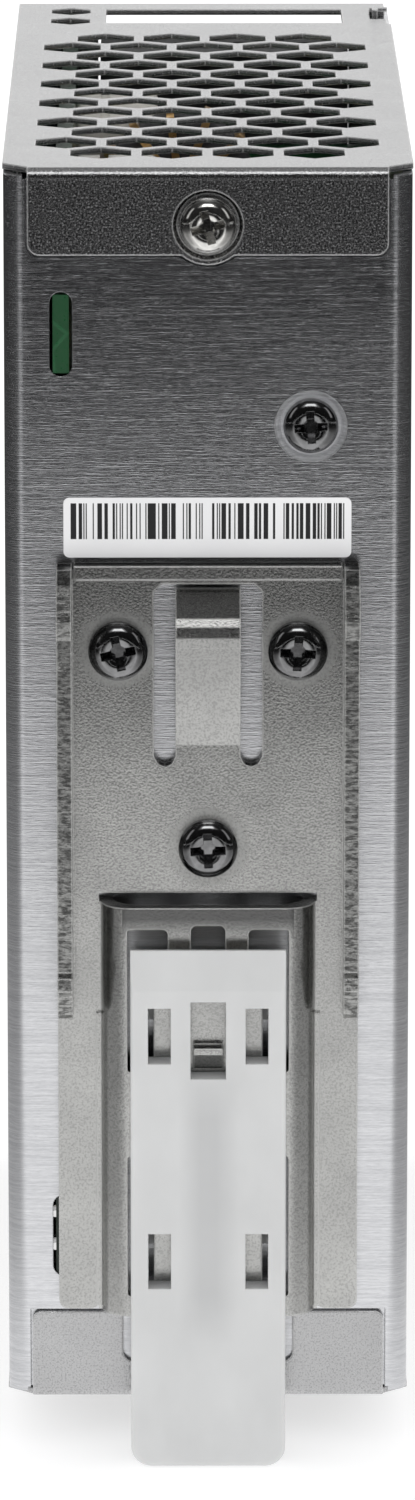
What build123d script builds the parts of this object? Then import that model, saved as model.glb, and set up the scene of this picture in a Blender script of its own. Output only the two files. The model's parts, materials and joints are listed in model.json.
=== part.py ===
from build123d import *
import math
import os

# DIN-rail power supply, modelled as the pieces it comes apart into.
# Frame (millimetres): origin at the centre of the rail seat, +Z up,
# -Y towards the rail, +Y towards the front (terminals), +X to the right
# for somebody who looks at the rail side.

# ----------------------------------------------------------------- driving sizes
W = 40.0            # case width
H = 125.2           # case height
D = 106.2           # case depth without the rail clip
SEAT = 4.8          # rail seat stands this far behind the case's rear face
RAIL = 35.0         # rail height
RAIL_C = 63.8       # centre of the rail above the case's underside
HOOK = 7.3          # hooks stand this far behind the case's rear face
T_CASE = 1.0        # aluminium wall
T_COVER = 0.6       # steel covers
T_BRACKET = 1.5     # steel rail bracket
R_BEND = 2.0        # outer bend radius of the case
HEX_AF = 6.0        # vent hexagon across flats
HEX_PITCH = 7.0
HEX_ROW = 6.06
HEX_FIRST = 9.24    # first row of vents, from the rear face
POLE = 6.35         # terminal pitch
SLOT_X = 2.15       # middle of the output terminals
LATCH_TRAVEL = 5.0
CLAMP_TRAVEL = 2.5  # five turns of an M3 terminal screw
PCB_T = 1.6
PCB_X = -15.2       # solder side of the main board

YR = SEAT           # rear face of the case
ZB = -RAIL_C        # underside of the case
ZT = ZB + H         # top of the case
YF = YR + D         # front face
PX = PCB_X + PCB_T  # component side of the main board

os.makedirs("parts", exist_ok=True)


def rear(y):
    """Plane that faces the rail, y behind the case's rear face (+ is into the case)."""
    return Plane.XZ.offset(-(YR + y))


def side(x):
    return Plane.YZ.offset(x)


def level(z):
    return Plane.XY.offset(ZB + z)


def save(builder, name):
    builder.part.label = name
    export_step(builder.part, "parts/" + name + ".step")


# ----------------------------------------------------------------- screws
def pan_screw(head_d, head_h, shank_d, shank_l, dome=0.45):
    """Phillips pan head at the origin, head up (+Z), shank down."""
    with BuildPart() as s:
        with BuildSketch(Plane.XZ):
            with BuildLine():
                r = head_d / 2
                a = Line((0, -shank_l), (shank_d / 2 - 0.3, -shank_l))
                b = Line(a @ 1, (shank_d / 2, -shank_l + 0.4))
                c = Line(b @ 1, (shank_d / 2, 0))
                d = Line(c @ 1, (r - 0.12, 0))
                e = Line(d @ 1, (r, 0.15))
                f = Line(e @ 1, (r, head_h * (1 - dome)))
                g = ThreePointArc(f @ 1, (r * 0.78, head_h * 0.93), (r * 0.3, head_h))
                h = Line(g @ 1, (0, head_h))
                Line(h @ 1, (0, -shank_l))
            make_face()
        revolve(axis=Axis.Z)
        # cross recess: two wedge-shaped slots and a cone
        low = head_h - min(head_h * 0.85, 1.5)
        for plane in (Plane.XZ, Plane.YZ):
            with BuildSketch(plane):
                with BuildLine():
                    Polyline((-head_d * 0.3, head_h + 0.3), (head_d * 0.3, head_h + 0.3),
                             (head_d * 0.29, head_h - 0.3), (head_d * 0.12, low), (-head_d * 0.12, low),
                             (-head_d * 0.29, head_h - 0.3), (-head_d * 0.3, head_h + 0.3))
                make_face()
            extrude(amount=head_d * 0.072, both=True, mode=Mode.SUBTRACT)
        with BuildSketch(Plane.XZ):
            with BuildLine():
                Polyline((0, head_h + 0.3), (head_d * 0.15, head_h + 0.3), (head_d * 0.13, head_h - 0.4),
                         (head_d * 0.07, low), (0, low), (0, head_h + 0.3))
            make_face()
        revolve(axis=Axis.Z, mode=Mode.SUBTRACT)
    return s.part


def slot_screw(head_d, head_h, shank_d, shank_l):
    """Terminal screw with a cross slot, head up (+Z), shank down."""
    with BuildPart() as s:
        with BuildSketch(Plane.XY):
            Circle(head_d / 2)
        extrude(amount=head_h)
        chamfer(s.faces().sort_by(Axis.Z)[-1].edges(), 0.2)
        with BuildSketch(Plane.XY):
            Circle(shank_d / 2)
        extrude(amount=-shank_l)
        chamfer(s.faces().sort_by(Axis.Z)[0].edges(), 0.35)
        with BuildSketch(Plane.XY.offset(head_h)):
            Rectangle(head_d + 1, 0.8)
        extrude(amount=-0.9, mode=Mode.SUBTRACT)
        with BuildSketch(Plane.XY.offset(head_h)):
            Rectangle(0.8, head_d * 0.62)
        extrude(amount=-0.9, taper=6, mode=Mode.SUBTRACT)
    return s.part


def hex_rows(rows, first, y0):
    """Points of the vent pattern: rows of four and five in turn."""
    pts = []
    for i in range(rows):
        n = 4 if i % 2 == 0 else 5
        for k in range(n):
            pts.append(((k - (n - 1) / 2) * HEX_PITCH, y0 + first + i * HEX_ROW))
    return pts


# ================================================================= CASE
SCREW_REAR = (10.1, ZB + 99.6)      # heat spreader screw
SCREW_TOP = (0.0, ZB + 119.6)       # cover screw
BRACKET_SCREWS = [(-8.85, ZB + 77.5), (8.85, ZB + 77.5), (0.0, ZB + 57.5)]
SIDE_SCREW_Z = [ZB + 40.0, ZB + 86.0]
SIDE_SCREW_Y = YR + 99.0

with BuildPart() as case_shell:
    # bent aluminium: left side, rear, right side
    with BuildSketch(level(0.7)):
        with BuildLine():
            Polyline((-W / 2, YF - 1.0), (-W / 2, YR), (W / 2, YR), (W / 2, YF - 1.0),
                     (W / 2 - T_CASE, YF - 1.0), (W / 2 - T_CASE, YR + T_CASE),
                     (-W / 2 + T_CASE, YR + T_CASE), (-W / 2 + T_CASE, YF - 1.0),
                     (-W / 2, YF - 1.0))
        make_face()
    extrude(amount=H - 1.4)
    fillet(case_shell.edges().filter_by(Axis.Z).filter_by(
        lambda e: abs(e.center().Y - YR) < 0.01 and abs(abs(e.center().X) - W / 2) < 0.01), R_BEND)
    fillet(case_shell.edges().filter_by(Axis.Z).filter_by(
        lambda e: abs(e.center().Y - YR - T_CASE) < 0.01 and abs(abs(e.center().X) - W / 2 + T_CASE) < 0.01),
        R_BEND - T_CASE)
    # shelf pressed inwards behind the top flange
    with BuildSketch(rear(T_CASE)):
        with Locations((0, ZT - 4.7)):
            Rectangle(2 * 17.6, 8.0)
        with Locations(SCREW_TOP):
            Circle(5.0)
    extrude(amount=-0.62)
    with BuildSketch(rear(0.0)):
        with Locations((0, ZT - 4.3)):
            RectangleRounded(35.7, 9.0, 1.3)
        with Locations((0, ZT - 1.0)):
            Rectangle(35.7, 2.4)
        with Locations(SCREW_TOP):
            Circle(4.15)
    extrude(amount=-0.62, mode=Mode.SUBTRACT)
    # deeper cup for the cover screw, with its extruded thread
    with BuildSketch(rear(1.5)):
        with Locations(SCREW_TOP):
            Circle(5.0)
    extrude(amount=-0.82)
    with BuildSketch(rear(2.2)):
        with Locations(SCREW_TOP):
            Circle(2.4)
    extrude(amount=-2.2)
    with BuildSketch(rear(0.5)):
        with Locations(SCREW_TOP):
            Circle(4.15)
    extrude(amount=-0.82, mode=Mode.SUBTRACT)
    # shelf pressed inwards behind the bottom flange
    with BuildSketch(rear(T_CASE)):
        with Locations((0, ZB + 5.2)):
            Rectangle(35.0, 8.9)
    extrude(amount=-0.62)
    with BuildSketch(rear(0.0)):
        with Locations((0, ZB + 4.65)):
            Rectangle(35.6, 9.3)
    extrude(amount=-0.62, mode=Mode.SUBTRACT)
    # room for the inside of the covers' bends
    with BuildSketch(rear(-0.1)):
        with Locations((0, ZT - 0.55), (0, ZB + 0.55)):
            Rectangle(36.2, 1.1)
    extrude(amount=-2.0, mode=Mode.SUBTRACT)
    # countersunk cup of the heat spreader screw
    with BuildSketch(rear(0.8)):
        with Locations(SCREW_REAR):
            Circle(4.3)
    extrude(amount=-1.0)
    with BuildSketch(rear(0.0)):
        with Locations(SCREW_REAR):
            Circle(3.5)
    extrude(amount=-0.8, taper=32, mode=Mode.SUBTRACT)
    # slots for the tongues of the main board
    with BuildSketch(rear(0.0)):
        with Locations((-14.4, ZB + 108.8), (-14.4, ZB + 17.0)):
            SlotOverall(8.4, 2.2, rotation=90)
    extrude(amount=-2.5, mode=Mode.SUBTRACT)
    # screw holes through the rear sheet
    with BuildSketch(rear(-0.1)):
        with Locations(*BRACKET_SCREWS):
            Circle(1.5)
        with Locations(SCREW_TOP, SCREW_REAR):
            Circle(1.5)
    extrude(amount=-6.0, mode=Mode.SUBTRACT)
    # countersunk holes of the side screws
    for s in (-1, 1):
        with BuildSketch(Plane(origin=(s * W / 2, 0, 0), x_dir=(0, 1, 0), z_dir=(s, 0, 0))):
            with Locations(*[(SIDE_SCREW_Y, s * z) for z in SIDE_SCREW_Z]):
                Circle(1.4)
        extrude(amount=-T_CASE, mode=Mode.SUBTRACT)
        with BuildSketch(Plane(origin=(s * W / 2, 0, 0), x_dir=(0, 1, 0), z_dir=(s, 0, 0))):
            with Locations(*[(SIDE_SCREW_Y, s * z) for z in SIDE_SCREW_Z]):
                Circle(2.4)
        extrude(amount=-T_CASE, taper=45, mode=Mode.SUBTRACT)
save(case_shell, "case_shell")

# ================================================================= COVERS
with BuildPart() as top_cover:
    with BuildSketch(Plane.XY.offset(ZT - T_COVER)):
        with BuildLine():
            Polyline((-17.65, YR), (17.65, YR), (17.65, YR + 1.2), (20.1, YR + 3.4), (20.1, YR + 92.0),
                     (19.6, YR + 92.0), (19.6, YF + 0.3), (-20.1, YF + 0.3), (-20.1, YR + 3.4),
                     (-17.65, YR + 1.2), (-17.65, YR))
        make_face()
        # terminal slot
        with Locations((SLOT_X, YR + 97.5)):
            Rectangle(4 * POLE + 0.1, 9.6, mode=Mode.SUBTRACT)
        # notch for the front panel's tab
        with Locations((19.2, YR + 98.6)):
            Rectangle(2.6, 6.2, mode=Mode.SUBTRACT)
        with Locations(*hex_rows(13, HEX_FIRST, YR)):
            RegularPolygon(HEX_AF / 2, 6, major_radius=False, rotation=30, mode=Mode.SUBTRACT)
        with Locations((-14.4, YR + 94.1), (-14.4, YR + 100.9)):
            RegularPolygon(2.1, 6, major_radius=False, rotation=30, mode=Mode.SUBTRACT)
    extrude(amount=T_COVER)
    # rear flange, with the cup of the cover screw
    with BuildSketch(rear(0.0)):
        with Locations((0, ZT - 4.3)):
            RectangleRounded(35.3, 8.6, 1.2)
        with Locations((0, ZT - 1.0)):
            Rectangle(35.3, 2.0)
        with Locations(SCREW_TOP):
            Circle(3.95)
    extrude(amount=-T_COVER)
    with BuildSketch(rear(0.5)):
        with Locations(SCREW_TOP):
            Circle(3.95)
    extrude(amount=-0.8)
    with BuildSketch(rear(0.0)):
        with Locations(SCREW_TOP):
            Circle(3.45)
    extrude(amount=-0.7, taper=30, mode=Mode.SUBTRACT)
    with BuildSketch(rear(-0.1)):
        with Locations(SCREW_TOP):
            Circle(1.6)
    extrude(amount=-3.0, mode=Mode.SUBTRACT)
    fillet(top_cover.edges().filter_by(Axis.X).filter_by(
        lambda e: abs(e.center().Y - YR - T_COVER) < 0.01 and abs(e.center().Z - ZT + T_COVER) < 0.01), 0.4)
    fillet(top_cover.edges().filter_by(Axis.X).filter_by(
        lambda e: abs(e.center().Y - YR) < 0.01 and abs(e.center().Z - ZT) < 0.01), 0.4 + T_COVER)
save(top_cover, "top_cover")

with BuildPart() as bottom_cover:
    with BuildSketch(Plane.XY.offset(ZB)):
        with BuildLine():
            Polyline((-17.6, YR), (17.6, YR), (17.6, YR + 1.2), (20.1, YR + 3.4), (20.1, YF + 0.3),
                     (-20.1, YF + 0.3), (-20.1, YR + 3.4), (-17.6, YR + 1.2), (-17.6, YR))
        make_face()
        with Locations((SLOT_X, YR + 97.5)):
            Rectangle(25.6, 9.6, mode=Mode.SUBTRACT)
        with Locations(*hex_rows(13, HEX_FIRST, YR)):
            RegularPolygon(HEX_AF / 2, 6, major_radius=False, rotation=30, mode=Mode.SUBTRACT)
    extrude(amount=T_COVER)
    # rear flange, cut low in the middle where the latch slides
    with BuildSketch(rear(0.0)):
        with Locations((0, ZB + 4.5)):
            RectangleRounded(35.2, 9.0, 0.8)
        with Locations((0, ZB + 1.0)):
            Rectangle(35.2, 2.0)
        with Locations((0, ZB + 10.6)):
            RectangleRounded(17.0, 13.6, 1.0, mode=Mode.SUBTRACT)
    extrude(amount=-T_COVER)
    fillet(bottom_cover.edges().filter_by(Axis.X).filter_by(
        lambda e: abs(e.center().Y - YR - T_COVER) < 0.01 and abs(e.center().Z - ZB - T_COVER) < 0.01), 0.4)
    fillet(bottom_cover.edges().filter_by(Axis.X).filter_by(
        lambda e: abs(e.center().Y - YR) < 0.01 and abs(e.center().Z - ZB) < 0.01), 0.4 + T_COVER)
save(bottom_cover, "bottom_cover")

OUT_Z0, OUT_Z1 = 104.4, 122.4       # output terminal block
IN_Z0, IN_Z1 = 2.8, 20.8            # input terminal block
IN_POLE = 8.2

with BuildPart() as front_panel:
    with BuildSketch(rear(D - T_COVER)):
        with Locations((0, ZB + H / 2)):
            Rectangle(2 * 19.9, H - 2 * T_COVER - 0.2)
        # window of the output terminals, open at the top edge
        with Locations((SLOT_X, ZB + (OUT_Z0 - 0.3 + 125) / 2)):
            Rectangle(4 * POLE + 1.9, 125 - OUT_Z0 + 0.3, mode=Mode.SUBTRACT)
        # window of the input terminals, open at the bottom edge
        with Locations((SLOT_X, ZB + (IN_Z1 + 0.3) / 2)):
            Rectangle(3 * IN_POLE + 2.3, IN_Z1 + 0.3, mode=Mode.SUBTRACT)
        # lamp and voltage adjuster
        with Locations((-8.0, ZB + 97.0)):
            Circle(1.6, mode=Mode.SUBTRACT)
        with Locations((6.0, ZB + 97.0)):
            Circle(3.6, mode=Mode.SUBTRACT)
    extrude(amount=-T_COVER)
    # flanges folded back inside the case's sides
    for s in (-1, 1):
        with BuildSketch(level(22.0)):
            with Locations((s * (W / 2 - T_CASE - 0.05 - T_COVER / 2), YF - T_COVER - 4.5)):
                Rectangle(T_COVER, 9.0)
        extrude(amount=80.0)
        with BuildSketch(Plane(origin=(s * (W / 2 - T_CASE - 0.3), 0, 0), x_dir=(0, 1, 0), z_dir=(-s, 0, 0))):
            with Locations(*[(SIDE_SCREW_Y, -s * z) for z in SIDE_SCREW_Z]):
                Circle(2.2)
        extrude(amount=1.8)
        with BuildSketch(Plane(origin=(s * W / 2, 0, 0), x_dir=(0, 1, 0), z_dir=(-s, 0, 0))):
            with Locations(*[(SIDE_SCREW_Y, -s * z) for z in SIDE_SCREW_Z]):
                Circle(1.3)
        extrude(amount=5.0, mode=Mode.SUBTRACT)
    # tab that stands up into the top cover's notch
    with BuildSketch(side(18.2)):
        with BuildLine():
            Polyline((YF - T_COVER, ZT - 2.4), (YF - T_COVER, ZT - 0.9), (YR + 101.2, ZT - 0.9),
                     (YR + 101.2, ZT + 0.5), (YR + 98.6, ZT + 0.5), (YR + 98.6, ZT - 2.4),
                     (YF - T_COVER, ZT - 2.4))
        make_face()
    extrude(amount=0.6)
    with BuildSketch(Plane.XY.offset(ZT + 0.1)):
        with Locations((18.9, YR + 100.4)):
            Rectangle(1.9, 0.6)
    extrude(amount=0.4)
save(front_panel, "front_panel")

M3_PAN = pan_screw(5.6, 2.1, 2.9, 5.6)
M3_DARK = pan_screw(5.85, 1.75, 2.9, 4.6, dome=0.5)
M3_SPREADER = pan_screw(5.4, 1.35, 2.9, 7.4, dome=0.5)


def facing_rear(x, z, y, turn=0.0):
    """Location of a screw whose head faces the rail."""
    return Plane(origin=(x, YR + y, z), x_dir=(math.cos(math.radians(turn)), 0, math.sin(math.radians(turn))),
                 z_dir=(0, -1, 0)).location


with BuildPart() as top_cover_screw:
    with Locations(facing_rear(SCREW_TOP[0], SCREW_TOP[1], 0.7, 14)):
        add(M3_PAN)
save(top_cover_screw, "top_cover_screw")

with BuildPart() as heat_spreader_screw:
    with Locations(facing_rear(SCREW_REAR[0], SCREW_REAR[1], 0.8, 4)):
        add(M3_SPREADER)
save(heat_spreader_screw, "heat_spreader_screw")

with BuildPart() as bracket_screws:
    with Locations(*[facing_rear(x, z, -T_BRACKET, t) for (x, z), t in zip(BRACKET_SCREWS, (12, -3, 2))]):
        add(M3_DARK)
save(bracket_screws, "bracket_screws")

with BuildPart() as rear_nuts:
    # plate nuts inside the rear sheet: three for the bracket, one on the rectifier's tab
    with BuildSketch(rear(T_CASE)):
        with Locations(*BRACKET_SCREWS):
            RegularPolygon(2.75, 6, major_radius=False)
            Circle(1.5, mode=Mode.SUBTRACT)
    extrude(amount=-2.4)
    with BuildSketch(rear(5.9)):
        with Locations(SCREW_REAR):
            RegularPolygon(2.75, 6, major_radius=False)
            Circle(1.5, mode=Mode.SUBTRACT)
    extrude(amount=-2.4)
save(rear_nuts, "rear_nuts")

with BuildPart() as _side_screw:
    with BuildSketch(Plane.XZ):
        with BuildLine():
            Polyline((0, 0), (2.3, 0), (1.23, -1.0), (1.23, -2.9), (0, -2.9), (0, 0))
        make_face()
    revolve(axis=Axis.Z)
    with BuildSketch(Plane.XY):
        Rectangle(2.4, 0.55)
        Rectangle(0.55, 2.4)
    extrude(amount=-1.0, taper=8, mode=Mode.SUBTRACT)

with BuildPart() as side_screws:
    with Locations(*[Plane(origin=(s * (W / 2 - 0.02), SIDE_SCREW_Y, z), x_dir=(0, 1, 0), z_dir=(s, 0, 0)).location
                     for s in (-1, 1) for z in SIDE_SCREW_Z]):
        add(_side_screw.part)
save(side_screws, "side_screws")

with BuildPart() as rear_label:
    with BuildSketch(rear(0.0)):
        with Locations((-0.05, ZB + 89.5)):
            RectangleRounded(28.3, 6.0, 0.6)
    extrude(amount=0.12)
save(rear_label, "rear_label")

# ================================================================= RAIL BRACKET
CH = 9.8            # lower end of the bracket
CT = 51.9           # upper end of the raised channel

with BuildPart() as din_bracket:
    # floor, open where the channel is raised
    with BuildSketch(rear(0.0)):
        with Locations((0, ZB + (40.3 + 85.6) / 2)):
            Rectangle(29.8, 85.6 - 40.3)
        for s in (-1, 1):
            with Locations((s * 12.875, ZB + (CH + 41) / 2)):
                RectangleRounded(4.05, 41 - CH, 0.9)
        with Locations((0, ZB + (CH + 52.8) / 2 - 5)):
            Rectangle(21.6, 52.8 - CH + 10, mode=Mode.SUBTRACT)
        # slots beside the spring tongue
        with BuildLine():
            Polyline((-5.35, ZB + 66.7), (-5.35, ZB + 83.3), (-4.55, ZB + 84.1), (4.55, ZB + 84.1),
                     (5.35, ZB + 83.3), (5.35, ZB + 66.7), (4.9, ZB + 65.9), (4.25, ZB + 65.65), (3.6, ZB + 65.9),
                     (3.2, ZB + 66.7), (3.2, ZB + 81.4), (-3.2, ZB + 81.4), (-3.2, ZB + 66.7), (-3.6, ZB + 65.9),
                     (-4.25, ZB + 65.65), (-4.9, ZB + 65.9), (-5.35, ZB + 66.7))
        make_face(mode=Mode.SUBTRACT)
        with Locations((0, ZB + 75.0)):
            Rectangle(6.4, 14.0, mode=Mode.SUBTRACT)
    extrude(amount=T_BRACKET)
    # top lip, rolled outwards a little
    with BuildSketch(rear(0.0)):
        with Locations((0, ZB + 85.3)):
            Rectangle(26.4, 1.4)
    extrude(amount=2.0)
    # side walls with rail seat, hooks and lower nose
    for s in (-1, 1):
        with BuildSketch(side(s * 14.9)):
            with BuildLine():
                y = lambda v: YR - v
                Polyline((y(0), ZB + 85.9), (y(3.2), ZB + 85.9), (y(4.7), ZB + 84.7), (y(HOOK - 0.5), ZB + 82.5),
                         (y(HOOK), ZB + 81.5), (y(HOOK - 0.2), ZB + 80.3), (y(HOOK - 0.6), ZB + 79.6),
                         (y(HOOK - 1.05), ZB + 79.5), (y(SEAT + 1.25), ZB + 80.1),
                         (y(SEAT + 1.25), ZB + 81.6), (y(SEAT - 0.35), ZB + 81.6),
                         # relief in the throat of the hook
                         (y(SEAT - 0.35), ZB + 76.7), (y(SEAT), ZB + 76.1), (y(SEAT), ZB + 45.5),
                         (y(SEAT + 0.75), ZB + 45.0), (y(SEAT + 0.75), ZB + 43.7), (y(SEAT + 0.1), ZB + 43.1),
                         (y(4.0), ZB + 41.0), (y(2.9), ZB + 40.3), (y(0), ZB + 40.3), (y(0), ZB + 85.9))
            make_face()
        extrude(amount=-s * T_BRACKET)
    # raised channel that carries the latch
    with BuildSketch(level(CH)):
        with BuildLine():
            Polyline((-10.9, YR), (-10.9, YR - 1.5), (-10.6, YR - 1.5))
            ThreePointArc((-10.6, YR - 1.5), (-9.75, YR - 3.3), (-7.9, YR - 4.25))
            Line((-7.9, YR - 4.25), (7.9, YR - 4.25))
            ThreePointArc((7.9, YR - 4.25), (9.75, YR - 3.3), (10.6, YR - 1.5))
            Polyline((10.6, YR - 1.5), (10.9, YR - 1.5), (10.9, YR), (9.5, YR))
            ThreePointArc((9.5, YR), (8.75, YR - 1.8), (7.3, YR - 2.75))
            Line((7.3, YR - 2.75), (-7.3, YR - 2.75))
            ThreePointArc((-7.3, YR - 2.75), (-8.75, YR - 1.8), (-9.5, YR))
            Line((-9.5, YR), (-10.9, YR))
        make_face()
    extrude(amount=CT - CH)
    # cut edge where each foot strip is sheared from the channel
    with BuildSketch(rear(0.0)):
        for s in (-1, 1):
            with Locations((s * 10.85, ZB + (CH + 0.4 + 40.6) / 2)):
                Rectangle(0.5, 40.2 - CH)
    extrude(amount=T_BRACKET + 0.45)
    # windows for the latch's four legs, each with a wide end for fitting
    for z0, z1, zw in ((35.1, 49.7, 43.6), (11.9, 26.4, 20.4)):
        with BuildSketch(rear(-1.6)):
            for s in (-1, 1):
                with Locations((s * 6.7, ZB + (z0 + z1) / 2)):
                    RectangleRounded(2.6, z1 - z0, 0.3)
                with Locations((s * 5.8, ZB + (zw + z1) / 2)):
                    RectangleRounded(3.6, z1 - zw, 0.5)
        extrude(amount=4.0, mode=Mode.SUBTRACT)
    # window of the return spring, and middle window above the stop tongue
    with BuildSketch(rear(-2.0)):
        with Locations((0, ZB + (12.2 + 33.6) / 2)):
            RectangleRounded(3.9, 33.6 - 12.2, 0.4)
        with Locations((0, ZB + (43.9 + 50.1) / 2)):
            RectangleRounded(3.4, 50.1 - 43.9, 0.6)
    extrude(amount=3.0, mode=Mode.SUBTRACT)
    # stop tongue, lanced out into the latch's middle slot
    with BuildSketch(side(0.0)):
        with BuildLine():
            Polyline((YR - 2.75, ZB + 35.2), (YR - 2.75, ZB + 36.2), (YR - 4.3, ZB + 38.0), (YR - 6.0, ZB + 38.0),
                     (YR - 6.0, ZB + 37.4), (YR - 4.25, ZB + 35.5), (YR - 4.25, ZB + 35.2), (YR - 2.75, ZB + 35.2))
        make_face()
    extrude(amount=1.45, both=True)
    # spring tongue that presses on the rail
    with BuildSketch(side(0.0)):
        with BuildLine():
            Polyline((YR, ZB + 67.9), (YR - 1.5, ZB + 67.9), (YR - 4.15, ZB + 77.2), (YR - 4.85, ZB + 78.4),
                     (YR - 5.05, ZB + 79.4), (YR - 5.0, ZB + 80.5), (YR - 4.5, ZB + 81.3), (YR - 1.4, ZB + 83.75),
                     (YR - 0.7, ZB + 82.8), (YR - 3.5, ZB + 80.5), (YR - 3.75, ZB + 79.2),
                     (YR - 2.9, ZB + 77.8), (YR, ZB + 68.4), (YR, ZB + 67.9))
        make_face()
    extrude(amount=3.2, both=True)
    # screw holes, with a shallow dish round each
    with BuildSketch(rear(0.0)):
        with Locations(*BRACKET_SCREWS):
            Circle(1.6)
    extrude(amount=T_BRACKET + 1.0, mode=Mode.SUBTRACT)
save(din_bracket, "din_bracket")

# ================================================================= LATCH
LW = 15.4
L_IN, L_OUT = 4.3, 7.25             # latch plate, behind the case's rear face

with BuildPart() as latch_slide:
    with BuildSketch(rear(-L_IN)):
        with Locations((0, ZB + (48.2 - 5.0) / 2)):
            RectangleRounded(LW, 53.2, 2.0)
        with Locations((0, ZB + 46.2)):
            Rectangle(LW, 4.0)
    extrude(amount=L_OUT - L_IN)
    # lead-in bevel towards the rail
    with BuildSketch(side(0.0)):
        with BuildLine():
            Polyline((YR - L_OUT - 1, ZB + 44.2), (YR - L_OUT, ZB + 44.2), (YR - SEAT - 1.75, ZB + 48.3),
                     (YR - L_OUT - 1, ZB + 48.3), (YR - L_OUT - 1, ZB + 44.2))
        make_face()
    extrude(amount=LW, both=True, mode=Mode.SUBTRACT)
    # shelf that lets the rail's flange in behind the lip
    with BuildSketch(side(0.0)):
        with BuildLine():
            Polyline((YR - L_IN + 1, ZB + 46.0), (YR - SEAT - 1.3, ZB + 46.0), (YR - SEAT - 1.3, ZB + 49.0),
                     (YR - L_IN + 1, ZB + 49.0), (YR - L_IN + 1, ZB + 46.0))
        make_face()
    extrude(amount=LW, both=True, mode=Mode.SUBTRACT)
    # slots over the four barbs and round the stop tongue
    with BuildSketch(rear(-L_IN + 1)):
        for s in (-1, 1):
            with Locations((s * 4.83, ZB + 39.6), (s * 4.83, ZB + 16.4)):
                Rectangle(2.25, 5.7)
        with Locations((0, ZB + 39.15)):
            Rectangle(3.5, 7.9)
    extrude(amount=5, mode=Mode.SUBTRACT)
    # groove for the return spring
    with BuildSketch(rear(-L_IN)):
        with Locations((0, ZB + (9.5 + 33.6) / 2)):
            RectangleRounded(4.0, 33.6 - 9.5, 0.3)
    extrude(amount=2.05, mode=Mode.SUBTRACT)
    # four barbed legs behind the channel's sheet
    for z in (41.3, 18.1):
        for s in (-1, 1):
            with BuildSketch(level(z - 1.2)):
                with BuildLine():
                    Polyline((s * 7.2, YR - L_IN - 0.4), (s * 7.2, YR - 1.5), (s * 6.0, YR - 1.5), (s * 4.3, YR - 1.75),
                             (s * 4.3, YR - 2.65), (s * 6.0, YR - 2.65), (s * 6.0, YR - L_IN - 0.4),
                             (s * 7.2, YR - L_IN - 0.4))
                make_face()
            extrude(amount=2.4)
    fillet(latch_slide.edges().filter_by(
        lambda e: abs(e.center().Y - YR + L_OUT) < 0.01 and abs(e.center().X) > LW / 2 - 0.05), 0.45)
save(latch_slide, "latch_slide")

SP_R, SP_W = 1.35, 0.2              # coil radius, wire radius of the return spring
SP_Z0, SP_Z1 = 12.25, 33.55
SP_N = 11
with BuildPart() as latch_spring:
    with BuildLine():
        Helix(pitch=(SP_Z1 - SP_Z0 - 2 * SP_W) / SP_N, height=SP_Z1 - SP_Z0 - 2 * SP_W, radius=SP_R,
              center=(0, YR - 4.5, ZB + SP_Z0 + SP_W))
    with BuildSketch(Plane(origin=(SP_R, YR - 4.5, ZB + SP_Z0 + SP_W), x_dir=(1, 0, 0), z_dir=(0, 1, 0))):
        Circle(SP_W)
    sweep(is_frenet=True)
save(latch_spring, "latch_spring")

# ================================================================= BOARD AND INSULATION
with BuildPart() as main_pcb:
    with BuildSketch(side(PCB_X)):
        with Locations((YR + 53.0, ZB + H / 2)):
            Rectangle(100.0, 119.0)
        with Locations((YR + 1.7, ZB + 108.8), (YR + 1.7, ZB + 17.0)):
            Rectangle(3.0, 7.8)
        # mounting holes
        with Locations((YR + 12, ZB + 62.6), (YR + 90, ZB + 62.6)):
            Circle(1.6, mode=Mode.SUBTRACT)
    extrude(amount=PCB_T)
save(main_pcb, "main_pcb")

with BuildPart() as board_standoffs:
    # turned pillars, riveted to the left side of the case
    with BuildSketch(side(-W / 2 + T_CASE)):
        with Locations((YR + 12, ZB + 62.6), (YR + 90, ZB + 62.6)):
            Circle(2.5)
    extrude(amount=PCB_X + W / 2 - T_CASE)
    with BuildSketch(side(PCB_X - 2.0)):
        with Locations((YR + 12, ZB + 62.6), (YR + 90, ZB + 62.6)):
            Circle(1.3)
    extrude(amount=5, mode=Mode.SUBTRACT)
save(board_standoffs, "board_standoffs")

with BuildPart() as _board_screw:
    with BuildSketch(Plane.XY):
        Circle(2.7)
    extrude(amount=1.8)
    fillet(_board_screw.faces().sort_by(Axis.Z)[-1].edges(), 0.5)
    with BuildSketch(Plane.XY):
        Circle(1.25)
    extrude(amount=-3.2)
    with BuildSketch(Plane.XY.offset(1.8)):
        Rectangle(2.8, 0.7)
        Rectangle(0.7, 2.8)
    extrude(amount=-1.2, taper=8, mode=Mode.SUBTRACT)

with BuildPart() as board_screws:
    with Locations(*[Plane(origin=(PX, YR + y, ZB + 62.6), x_dir=(0, 1, 0), z_dir=(1, 0, 0)).location
                     for y in (12, 90)]):
        add(_board_screw.part)
save(board_screws, "board_screws")

with BuildPart() as insulation_sheet:
    with BuildSketch(side(-W / 2 + T_CASE + 0.05)):
        with Locations((YR + 49.5, ZB + H / 2)):
            Rectangle(91.0, 118.0)
        with Locations((YR + 12, ZB + 62.6), (YR + 90, ZB + 62.6)):
            Circle(3.0, mode=Mode.SUBTRACT)
    extrude(amount=0.4)
save(insulation_sheet, "insulation_sheet")

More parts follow.
